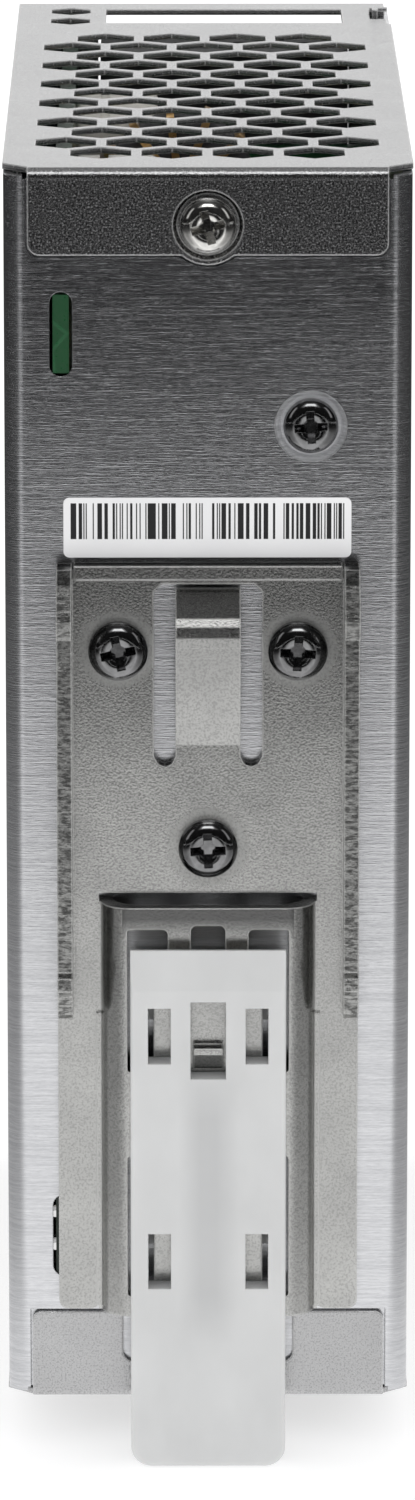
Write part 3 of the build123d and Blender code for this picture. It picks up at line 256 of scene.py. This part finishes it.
def brushed_aluminium():
    m = Mat("brushed_aluminium").set(Metallic=1.0, Anisotropic=0.6)
    m.bevel(0.00015)
    long_ = m.noise((130, 130, 4200), 2.0, 0.5)
    mid = m.noise((380, 380, 7600), 2.0, 0.6)
    fine = m.noise((1500, 1500, 9500), 1.0, 0.5)
    cloud = m.noise((60, 60, 60), 2.0, 0.5)
    s = m.math("ADD", m.math("MULTIPLY", long_, 0.35), m.math("MULTIPLY", mid, 0.40))
    s = m.math("ADD", s, m.math("MULTIPLY", fine, 0.25))
    col = m.ramp(s, [(0.38, (0.62, 0.625, 0.645)), (0.5, (0.70, 0.705, 0.725)), (0.62, (0.78, 0.785, 0.805))])
    # the rear face is painted darker towards its top, a painted dark reflection broken up by the brushing streaks,
    # and is more coarsely brushed there
    x, y, z = m.xyz()
    painted_dark_reflection = m.math("MULTIPLY", m.rng(z, 0.0, 0.50, ZB + 0.088, ZB + 0.114), m.math("LESS_THAN", y, YR + 0.0006))
    painted_dark_reflection = m.math("MULTIPLY", painted_dark_reflection, m.rng(m.math("ABSOLUTE", x), 1.0, 0.0, 0.0172, 0.0188))
    painted_dark_reflection = m.math("MULTIPLY", painted_dark_reflection, m.rng(s, 1.45, 0.35, 0.40, 0.60))
    m.color(m.mix(painted_dark_reflection, col, (0.02, 0.02, 0.023)))
    r = m.rng(s, 0.26, 0.20, 0.35, 0.65)
    r = m.math("ADD", r, m.rng(cloud, -0.02, 0.02))
    # the countersunk cup is turned, not brushed
    sp_lo, sp_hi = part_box("heat_spreader_screw")
    ring = m.disc((sp_lo.x + sp_hi.x) / 2, (sp_lo.z + sp_hi.z) / 2, 0.00335, 0.0036)
    r = m.math("ADD", m.math("MULTIPLY", r, m.math("SUBTRACT", 1.0, ring)), m.math("MULTIPLY", ring, 0.55))
    m.roughness(r)
    m.metallic(m.math("SUBTRACT", 1.0, m.math("MULTIPLY", ring, 0.6)))
    # the brushing is deeper towards the top
    m.bump(m.math("MULTIPLY", s, m.rng(z, 0.35, 1.0, ZB + 0.03, ZB + 0.09)), 0.9, 0.000032)
    m.tangent_z()
    return m.m


def plated_sheet(name, dark, light, rough=(0.18, 0.28), grain=5200, strength=0.9, dist=0.000028, bevel=0.00028):
    """Zinc or nickel plate on rolled steel: fine orange-peel grain, and very faint blotches."""
    m = Mat(name).set(Metallic=1.0)
    m.bevel(bevel)
    g = m.noise((grain, grain, grain), 1.5, 0.6)
    b = m.noise((90, 90, 90), 3.0, 0.6)
    col = m.mix(m.rng(b, 0.0, 1.0, 0.3, 0.7), dark, light)
    col = m.mix(m.rng(g, 0.45, 0.0, 0.36, 0.52), col, [v * 0.45 for v in dark])
    x, y, z = m.xyz()
    # the top cover's rear flange is painted darker and grainier than its plate, a painted dark reflection; the plate
    # is a little hazy
    painted_dark_reflection = m.math("MULTIPLY", m.math("LESS_THAN", z, ZT - 0.0012), m.math("GREATER_THAN", z, ZT - 0.0105))
    painted_dark_reflection = m.math("MULTIPLY", painted_dark_reflection, m.math("LESS_THAN", y, YR + 0.0006))
    painted_dark_reflection = m.math("MULTIPLY", painted_dark_reflection, m.rng(g, 0.85, 0.05, 0.38, 0.60))
    col = m.mix(painted_dark_reflection, col, (0.03, 0.03, 0.032))
    # edges painted near-white and less metallic: a painted highlight
    m.color(m.mix(m.math("MULTIPLY", m.painted_edge_highlight, 0.85), col, (0.92, 0.92, 0.92)))
    haze = m.math("MULTIPLY", m.math("GREATER_THAN", z, ZT - 0.0004), 0.18)
    m.metallic(m.math("SUBTRACT", m.math("SUBTRACT", 1.0, haze), m.math("MULTIPLY", m.painted_edge_highlight, 0.6)))
    m.roughness(m.rng(g, rough[0], rough[1], 0.3, 0.7))
    m.bump(g, strength, dist)
    return m.m


def bracket_steel():
    m = Mat("bracket_nickel").set(Metallic=1.0)
    m.bevel(0.0003)
    g = m.noise((4200, 4200, 4200), 2.0, 0.6)
    b = m.noise((120, 120, 120), 3.0, 0.6)
    col = m.mix(m.rng(b, 0.0, 1.0, 0.3, 0.7), (0.47, 0.47, 0.46), (0.58, 0.58, 0.565))
    x, y, z = m.xyz()
    ax = m.math("ABSOLUTE", x)
    # cut edges of the side walls: torn grain across the thickness
    edge = m.math("MULTIPLY", m.math("GREATER_THAN", ax, 0.01335), m.math("LESS_THAN", y, YR - 0.0016))
    tear = m.noise((900, 900, 2600), 3.0, 0.7)
    col = m.mix(m.math("MULTIPLY", edge, m.rng(tear, 0.15, 0.92, 0.42, 0.58)), col, (0.08, 0.08, 0.078))
    col = m.mix(m.rng(g, 0.40, 0.0, 0.38, 0.54), col, (0.2, 0.2, 0.195))
    # the channel's end is painted dark up to its lip: painted shade below the lip
    end = m.math("MULTIPLY", m.rng(z, 0.0, 1.0, ZB + 0.0486, ZB + 0.0508), m.math("LESS_THAN", y, YR - 0.0041))
    end = m.math("MULTIPLY", m.math("MULTIPLY", end, m.math("LESS_THAN", z, ZB + 0.0530)),
                 m.math("LESS_THAN", ax, 0.0085))
    col = m.mix(m.math("MULTIPLY", end, 0.85), col, (0.10, 0.10, 0.10))
    # the upper bracket is painted darker towards its top: a painted dark reflection
    col = m.mix(m.rng(z, 0.0, 0.42, ZB + 0.066, ZB + 0.084), col, (0.10, 0.10, 0.098))
    # edges painted near-white, and made less metallic below: a painted highlight
    m.color(m.mix(m.math("MULTIPLY", m.painted_edge_highlight, 0.85), col, (0.92, 0.92, 0.90)))
    halo = m.math("MULTIPLY", m.painted_edge_highlight, 0.60)
    for cx, cz in BRACKET_SCREWS:
        halo = m.math("ADD", halo, m.math("MULTIPLY", m.disc(cx, cz, 0.0030, 0.0039), 0.45))
    m.metallic(m.math("SUBTRACT", 1.0, halo))
    r = m.math("ADD", m.rng(g, 0.15, 0.26, 0.3, 0.7), m.math("MULTIPLY", edge, 0.10))
    # the sheet is dished and polished round each screw
    for cx, cz in BRACKET_SCREWS:
        r = m.math("ADD", r, m.math("MULTIPLY", m.disc(cx, cz, 0.0031, 0.0044), 0.22))
    m.roughness(r)
    m.bump(g, 0.7, 0.000028)
    h = m.math("MULTIPLY", tear, edge)
    m.bump(h, 0.7, 0.00006)
    return m.m


def screw_metal(name, base, rough):
    m = Mat(name).set(Metallic=1.0)
    m.bevel(0.00008)
    g = m.noise((2500, 2500, 2500), 3.0, 0.6)
    s = m.noise((900, 900, 900), 2.0, 0.5, 0.4)
    m.color(m.mix(m.rng(s, 0, 1, 0.35, 0.65), [c * 0.75 for c in base], base))
    m.roughness(m.rng(g, rough * 0.7, rough * 1.4, 0.3, 0.7))
    m.bump(g, 0.2, 0.00001)
    return m.m


def nylon():
    m = Mat("natural_nylon").set(Roughness=0.42, IOR=1.53)
    m.p.inputs["Subsurface Weight"].default_value = 0.35
    m.p.inputs["Subsurface Radius"].default_value = (1.0, 0.95, 0.9)
    m.p.inputs["Subsurface Scale"].default_value = 0.0012
    m.bevel(0.0002)
    x, y, z = m.xyz()
    ax = m.math("ABSOLUTE", x)
    cloud = m.noise((140, 140, 90), 3.0, 0.55)
    col = m.mix(m.rng(cloud, 0, 1, 0.3, 0.7), (0.585, 0.59, 0.59), (0.645, 0.65, 0.65))
    # the wall is thin over the spring groove, and looks a little darker there
    inx = m.rng(ax, 1.0, 0.0, 0.0008, 0.0030)
    inz = m.math("MULTIPLY", m.rng(z, 0.0, 1.0, ZB + 0.008, ZB + 0.013), m.rng(z, 1.0, 0.0, ZB + 0.031, ZB + 0.037))
    thin = m.math("MULTIPLY", m.math("MULTIPLY", inx, inz), 0.55)
    col = m.mix(thin, col, (0.44, 0.445, 0.45))
    m.color(col)
    g = m.noise((3000, 3000, 3000), 2.0, 0.5)
    m.roughness(m.rng(g, 0.36, 0.5, 0.3, 0.7))
    m.bump(g, 0.12, 0.00002)
    return m.m


def plastic(name, base, rough=0.45, grain=2600, strength=0.25, var=0.12, bevel=0.00015, coat=0.0):
    m = Mat(name)
    m.bevel(bevel)
    g = m.noise((grain, grain, grain), 2.0, 0.55)
    c = m.noise((220, 220, 220), 3.0, 0.5)
    m.color(m.mix(m.rng(c, 0, 1, 0.3, 0.7), [v * (1 - var) for v in base], [min(1, v * (1 + var)) for v in base]))
    m.roughness(m.rng(g, rough - 0.06, rough + 0.08, 0.3, 0.7))
    if coat:
        m.p.inputs["Coat Weight"].default_value = coat
    m.bump(g, strength, 0.00003)
    return m.m


def epoxy_with_leads(name):
    """Black moulding."""
    return plastic(name, (0.03, 0.03, 0.033), 0.5, 3200, 0.4, 0.2)


def board(name):
    m = Mat(name).set(Roughness=0.3)
    m.p.inputs["Coat Weight"].default_value = 0.15
    x, y, z = m.xyz()
    # copper tracks under the solder mask: a coarse cell pattern
    v = m.voronoi((260, 260, 260), "DISTANCE_TO_EDGE")
    tr = m.rng(v, 1.0, 0.0, 0.02, 0.06)
    c = m.mix(tr, (0.008, 0.07, 0.022), (0.014, 0.10, 0.035))
    c = m.mix(m.rng(m.noise((300, 300, 300)), 0, 0.35, 0.3, 0.7), c, (0.005, 0.045, 0.016))
    # the board is painted darker towards its bottom: painted shadow
    c = m.mix(m.rng(z, 0.9, 0.0, ZB + 0.035, ZB + 0.060), c, (0.003, 0.012, 0.006))
    m.color(c)
    m.roughness(m.rng(m.noise((2400, 2400, 2400)), 0.25, 0.4, 0.3, 0.7))
    m.bump(tr, 0.3, 0.00003)
    return m.m


def label_paper():
    """White film with a made-up row of bars that says nothing."""
    m = Mat("label_film").set(Roughness=0.4)
    g = m.noise((5000, 5000, 5000), 2.0, 0.5)
    c = m.noise((90, 90, 90), 2.0, 0.5)
    white = m.mix(m.rng(c, 0, 1, 0.3, 0.7), (0.80, 0.80, 0.81), (0.86, 0.86, 0.865))
    x, y, z = m.xyz()
    cell = m.math("FLOOR", m.math("DIVIDE", m.math("SUBTRACT", x, lab_lo.x), 0.000115))
    wn = m.t.nodes.new("ShaderNodeTexWhiteNoise")
    wn.noise_dimensions = "1D"
    m.link(cell, wn.inputs["W"])
    bar = m.math("GREATER_THAN", wn.outputs["Value"], 0.47)
    for v, lo, hi in ((x, lab_lo.x + 0.0007, lab_hi.x - 0.0007), (z, lab_lo.z + 0.00185, lab_hi.z - 0.00055)):
        bar = m.math("MULTIPLY", bar, m.math("GREATER_THAN", v, lo))
        bar = m.math("MULTIPLY", bar, m.math("LESS_THAN", v, hi))
    m.color(m.mix(bar, white, (0.015, 0.015, 0.017)))
    m.roughness(m.rng(g, 0.32, 0.46, 0.3, 0.7))
    m.bump(g, 0.08, 0.00001)
    return m.m


def copper():
    m = Mat("enamelled_copper").set(Metallic=0.85)
    m.p.inputs["Coat Weight"].default_value = 0.6
    g = m.noise((1500, 1500, 1500), 2.0, 0.5)
    m.color(m.mix(m.rng(g, 0, 1, 0.3, 0.7), (0.62, 0.36, 0.13), (0.80, 0.52, 0.22)))
    m.roughness(m.rng(g, 0.25, 0.4, 0.3, 0.7))
    m.bump(g, 0.2, 0.00003)
    return m.m


def lens_green():
    m = Mat("lens_green").set(Roughness=0.12, IOR=1.5)
    m.p.inputs["Transmission Weight"].default_value = 0.6
    c = m.noise((700, 700, 700), 2.0, 0.5)
    m.color(m.mix(m.rng(c, 0, 1, 0.3, 0.7), (0.10, 0.55, 0.16), (0.18, 0.70, 0.24)))
    m.roughness(m.rng(c, 0.08, 0.18, 0.3, 0.7))
    return m.m


ALU = brushed_aluminium()
COVER = plated_sheet("zinc_sheet", (0.50, 0.50, 0.505), (0.565, 0.565, 0.57))
BRACKET = bracket_steel()
BRIGHT = screw_metal("bright_nickel", (0.88, 0.87, 0.84), 0.12)
DARK = screw_metal("black_nickel", (0.30, 0.30, 0.305), 0.11)
ZINC = plated_sheet("zinc_small", (0.60, 0.60, 0.58), (0.72, 0.72, 0.70), (0.25, 0.4), 3000)
NYLON = nylon()
SINK = plated_sheet("mill_aluminium", (0.50, 0.505, 0.515), (0.62, 0.625, 0.635), (0.35, 0.5), 1800, 0.4)
SLOT_MAT = {
    "case_aluminium": ALU, "cover_steel": COVER, "bracket_steel": BRACKET, "screw_bright": BRIGHT, "screw_dark": DARK,
    "nut_zinc": ZINC, "latch_nylon": NYLON,
    "spring_steel": screw_metal("spring_wire", (0.5, 0.5, 0.49), 0.25),
    "label_white": label_paper(), "board_green": board("solder_mask"),
    "film_clear": plastic("insulating_film", (0.05, 0.05, 0.055), 0.25, 1500, 0.1, 0.2, coat=0.5),
    "sink_aluminium": SINK, "epoxy_black": epoxy_with_leads("black_epoxy"),
    "can_sleeve": plastic("black_sleeve", (0.02, 0.022, 0.03), 0.28, 1400, 0.15, 0.2, coat=0.4),
    "can_cream": plastic("pale_sleeve", (0.78, 0.76, 0.70), 0.35, 1400, 0.15, 0.06, coat=0.3),
    "ferrite": plastic("ferrite", (0.055, 0.055, 0.06), 0.6, 2600, 0.6, 0.25),
    "tape_yellow": plastic("polyester_tape", (0.78, 0.62, 0.22), 0.3, 900, 0.2, 0.1, coat=0.4),
    "copper_wire": copper(),
    "bobbin_plastic": plastic("phenolic", (0.03, 0.03, 0.03), 0.5),
    "film_yellow": plastic("film_capacitor", (0.74, 0.55, 0.10), 0.35, coat=0.3),
    "disc_blue": plastic("blue_lacquer", (0.04, 0.13, 0.42), 0.2, 900, 0.25, coat=0.6),
    "disc_green": plastic("green_lacquer", (0.05, 0.22, 0.14), 0.2, 900, 0.25, coat=0.6),
    "fuse_glass": plastic("fuse_ceramic", (0.8, 0.8, 0.77), 0.35),
    "terminal_plastic": plastic("terminal_black", (0.022, 0.024, 0.024), 0.5, 2200, 0.5, 0.2),
    "terminal_metal": ZINC, "tin": plated_sheet("tinned_copper", (0.66, 0.66, 0.65), (0.76, 0.76, 0.75), (0.2, 0.35)),
    "pot_plastic": plastic("trimmer_blue", (0.05, 0.12, 0.35), 0.4),
    "pot_rotor": plastic("rotor_white", (0.78, 0.77, 0.73), 0.4),
    "lamp_green": lens_green(),
}

slot_of = {s["node"]: s["material_slot"] for s in frame["record"]["subparts"]}
for name, o in N.items():
    mat = SLOT_MAT[slot_of[name]]
    o.data.materials.clear()
    o.data.materials.append(mat)


# ------------------------------------------------------------------ return spring of the latch
def coil(name, centre, radius, wire, z0, z1, turns, mat):
    """Round wire wound about a vertical axis, with its ends closed."""
    steps, ring = int(turns * 28), 8
    pitch = (z1 - z0 - 2 * wire) / turns
    bm = bmesh.new()
    rows = []
    for i in range(steps + 1):
        a = 2 * math.pi * turns * i / steps
        c = Vector((centre[0] + radius * math.cos(a), centre[1] + radius * math.sin(a),
                    z0 + wire + pitch * turns * i / steps))
        out = Vector((math.cos(a), math.sin(a), 0.0))
        t = Vector((-radius * math.sin(a), radius * math.cos(a), pitch / (2 * math.pi))).normalized()
        up = t.cross(out).normalized()
        rows.append([bm.verts.new(c + wire * (math.cos(b) * out + math.sin(b) * up))
                     for b in (2 * math.pi * k / ring for k in range(ring))])
    for r0, r1 in zip(rows, rows[1:]):
        for k in range(ring):
            bm.faces.new((r0[k], r0[(k + 1) % ring], r1[(k + 1) % ring], r1[k])).smooth = True
    bm.faces.new(rows[0])
    bm.faces.new(rows[-1])
    bmesh.ops.recalc_face_normals(bm, faces=bm.faces)
    me = bpy.data.meshes.new(name)
    bm.to_mesh(me)
    bm.free()
    me.materials.append(mat)
    o = bpy.data.objects.new(name, me)
    COL.objects.link(o)
    return o


# it is squeezed as the latch comes down: its foot stays on the bracket, its head follows the latch
sp0, sp1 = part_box("latch_spring")
spring = coil("return_spring", ((sp0.x + sp1.x) / 2, (sp0.y + sp1.y) / 2), (sp1.x - sp0.x) / 2 - 0.0002, 0.0002,
              sp0.z, sp1.z, 11, SLOT_MAT["spring_steel"])
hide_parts("latch_spring")
spring_axis = ((sp0.x + sp1.x) / 2, (sp0.y + sp1.y) / 2)
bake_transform(spring, "case", body_of(N["latch_slide"])[0], start=(*spring_axis, sp0.z), end=(*spring_axis, sp1.z))


# ------------------------------------------------------------------ stage
# (distance in metres, value), (azimuth / 180 deg, value), (elevation / 90 deg, value)
CARD_R = [(0.0, 0.97), (0.20, 0.95), (0.27, 0.84), (0.33, 0.46), (0.40, 0.13), (0.47, 0.025), (0.60, 0.008), (0.80, 0.004)]
CARD_SIDE_R = [(0.0, 1.0), (0.05, 0.80), (0.10, 0.46), (0.18, 0.34), (0.27, 0.21), (0.36, 0.10), (0.50, 0.04), (0.8, 0.02)]
CARD_STREAK_R = [(0.0, 1.0), (0.25, 1.0), (0.40, 0.70), (0.60, 0.34), (0.80, 0.30), (1.0, 0.30)]
CARD_SIDE_AZ = [(0.0, 0.0), (0.06, 0.0), (0.30, 1.0), (1.0, 1.0)]
CARD_STREAK_AZ = [(0.0, 0.0), (0.085, 0.0), (0.115, 1.0), (0.15, 1.0), (0.19, 0.0), (1.0, 0.0)]
DOME_BACK_AZ = [(0.0, 0.0), (0.55, 0.0), (0.75, 1.0), (1.0, 1.0)]
DOME_BACK_EL = [(0.0, 0.95), (0.30, 0.95), (0.38, 0.08), (0.75, 0.08), (0.9, 0.2), (1.0, 0.2)]
DOME_FRONT_EL = [(0.0, 0.012), (0.45, 0.02), (0.8, 0.06), (1.0, 0.1)]
# soft boxes: azimuth from..to and elevation from..to in the same units, and their value
BOXES = [(-0.20, 0.20, 0.50, 0.78, 0.35), (-0.14, 0.14, 0.56, 0.72, 2.6), (-0.40, -0.32, 0.15, 0.50, 0.6),
         (0.32, 0.40, 0.15, 0.50, 0.6)]


def plane(name, size, loc, mat):
    bm = bmesh.new()
    s = size / 2
    vs = [bm.verts.new((loc[0] + a * s, loc[1] + b * s, loc[2])) for a, b in ((-1, -1), (1, -1), (1, 1), (-1, 1))]
    bm.faces.new(vs)
    me = bpy.data.meshes.new(name)
    bm.to_mesh(me)
    bm.free()
    me.materials.append(mat)
    o = bpy.data.objects.new(name, me)
    COL.objects.link(o)
    return o


fm = Mat("studio_floor").set(Roughness=0.9)
fm.p.inputs["Base Color"].default_value = (0.56, 0.56, 0.565, 1)
fm.p.inputs["Specular IOR Level"].default_value = 0.0
fm.p.inputs["Emission Color"].default_value = (1, 1, 1, 1)
fm.p.inputs["Emission Strength"].default_value = 0.58
floor = plane("studio_floor", 30.0, (0, 0, FLOOR_Z), fm.m)


# Everything that the metal mirrors is on two emitting surfaces that only reflections see: a card on the
# floor, bright near the object and dark farther out, and a dome with a bright rear and a few soft boxes.
class Glow(Mat):
    def __init__(self, name):
        self.m = bpy.data.materials.new(name)
        self.m.use_nodes = True
        self.t = self.m.node_tree
        self.t.nodes.clear()
        self.out = self.t.nodes.new("ShaderNodeOutputMaterial")
        self.e = self.t.nodes.new("ShaderNodeEmission")
        self.link(self.e.outputs[0], self.out.inputs[0])
        self.co = self.t.nodes.new("ShaderNodeTexCoord").outputs["Object"]

    def finish(self, value, tint=(1.0, 1.0, 1.0)):
        n = self.t.nodes.new("ShaderNodeCombineColor")
        for i in range(3):
            self.link(self.math("MULTIPLY", value, tint[i]), n.inputs[i])
        self.link(n.outputs[0], self.e.inputs[0])
        self.e.inputs[1].default_value = 1.0
        return self.m

    def curve(self, fac, stops, scale=1.0):
        """Piecewise-linear value; stops are (position, value) with positions 0..1."""
        return self.math("MULTIPLY", self.ramp(fac, stops), scale)


def azimuth(g, x, y):
    """0 towards the rail side, 1 towards the front, the same to the left and right."""
    a = g.math("ARCTAN2", g.math("ABSOLUTE", x), g.math("MULTIPLY", y, -1.0))
    return g.math("DIVIDE", a, math.pi)


g = Glow("floor_card")
x, y, z = g.xyz()
y = g.math("SUBTRACT", y, YR)
rad = g.math("SQRT", g.math("ADD", g.math("POWER", x, 2.0), g.math("POWER", y, 2.0)))
az = azimuth(g, x, y)
m_side = g.curve(az, CARD_SIDE_AZ)
val = g.math("ADD", g.math("MULTIPLY", g.curve(rad, CARD_R), g.math("SUBTRACT", 1.0, m_side)),
             g.math("MULTIPLY", g.curve(rad, CARD_SIDE_R), m_side))
m_str = g.curve(az, CARD_STREAK_AZ)
val = g.math("ADD", g.math("MULTIPLY", val, g.math("SUBTRACT", 1.0, m_str)),
             g.math("MULTIPLY", g.curve(rad, CARD_STREAK_R), m_str))
g.finish(val)
card = plane("floor_card", 8.0, (0, 0, FLOOR_Z + 0.00005), g.m)

g = Glow("dome")
x, y, z = g.xyz()
R_DOME = 3.9
el = g.math("DIVIDE", g.math("ARCSINE", g.math("DIVIDE", z, R_DOME)), math.pi / 2)
az = azimuth(g, x, y)
back = g.math("MULTIPLY", g.curve(az, DOME_BACK_AZ), g.curve(el, DOME_BACK_EL))
front = g.curve(el, DOME_FRONT_EL)
val = g.math("ADD", back, front)
for (a0, a1, e0, e1, v) in BOXES:
    sx = g.math("DIVIDE", g.math("ARCTAN2", x, g.math("MULTIPLY", y, -1.0)), math.pi)
    soft = 0.012
    w_ = g.math("MULTIPLY", g.rng(sx, 0, 1, a0 - soft, a0 + soft), g.rng(sx, 1, 0, a1 - soft, a1 + soft))
    h_ = g.math("MULTIPLY", g.rng(el, 0, 1, e0 - soft, e0 + soft), g.rng(el, 1, 0, e1 - soft, e1 + soft))
    val = g.math("ADD", val, g.math("MULTIPLY", g.math("MULTIPLY", w_, h_), v))
g.finish(val)
bm = bmesh.new()
bmesh.ops.create_uvsphere(bm, u_segments=64, v_segments=32, radius=R_DOME)
bmesh.ops.delete(bm, geom=[v for v in bm.verts if v.co.z < -0.3], context="VERTS")
me = bpy.data.meshes.new("dome")
bm.to_mesh(me)
bm.free()
me.materials.append(g.m)
dome = bpy.data.objects.new("dome", me)
COL.objects.link(dome)
for o in (card, dome):
    o.visible_camera = False
    o.visible_diffuse = False
    o.visible_shadow = False
    o.visible_transmission = False

# white world, for the background and the soft light on everything that is not metal
w = bpy.data.worlds.new("studio")
SC.world = w
w.use_nodes = True
wt = w.node_tree
wt.nodes.clear()
wo = wt.nodes.new("ShaderNodeOutputWorld")
bg = wt.nodes.new("ShaderNodeBackground")
bg.inputs[0].default_value = (1, 1, 1, 1)
bg.inputs[1].default_value = 1.0
wt.links.new(bg.outputs[0], wo.inputs[0])

# ------------------------------------------------------------------ camera
cd = bpy.data.cameras.new("camera")
cam = bpy.data.objects.new("camera", cd)
COL.objects.link(cam)
cd.sensor_width = 36.0
cd.lens = 8752.0 / 1500.0 * 36.0
cd.clip_start, cd.clip_end = 0.05, 60.0
cam.location = (-3.67 * MM, YR - 841.6 * MM, ZB + 269.2 * MM)
cam.rotation_euler = (math.radians(90 - 13.51), 0, math.radians(-0.247))
SC.camera = cam
SC.view_settings.view_transform = "Standard"
SC.view_settings.look = "None"
